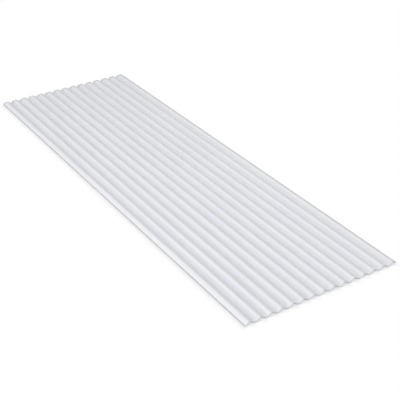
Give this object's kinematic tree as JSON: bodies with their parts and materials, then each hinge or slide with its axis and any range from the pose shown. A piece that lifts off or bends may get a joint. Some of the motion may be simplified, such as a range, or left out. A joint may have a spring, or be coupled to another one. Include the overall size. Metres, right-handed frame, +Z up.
{
  "type": "corrugated pvc sheet",
  "caption": "Rigid white PVC sheet with rounded waves that run its full length, lying flat, for roofing, cladding and light covers.",
  "frame": {"origin": "centre of the overall box, at the floor line that the troughs rest on", "axes": "+X along the waves, +Y across them from the edge just short of a trough to the edge that ends on a flank, +Z up"},
  "size_m": [3.5, 1.124, 0.018],
  "materials": {
    "white_pvc": "satin"
  },
  "bodies": {
    "root": {"corrugated_sheet": "white_pvc"}
  },
  "joints": []
}
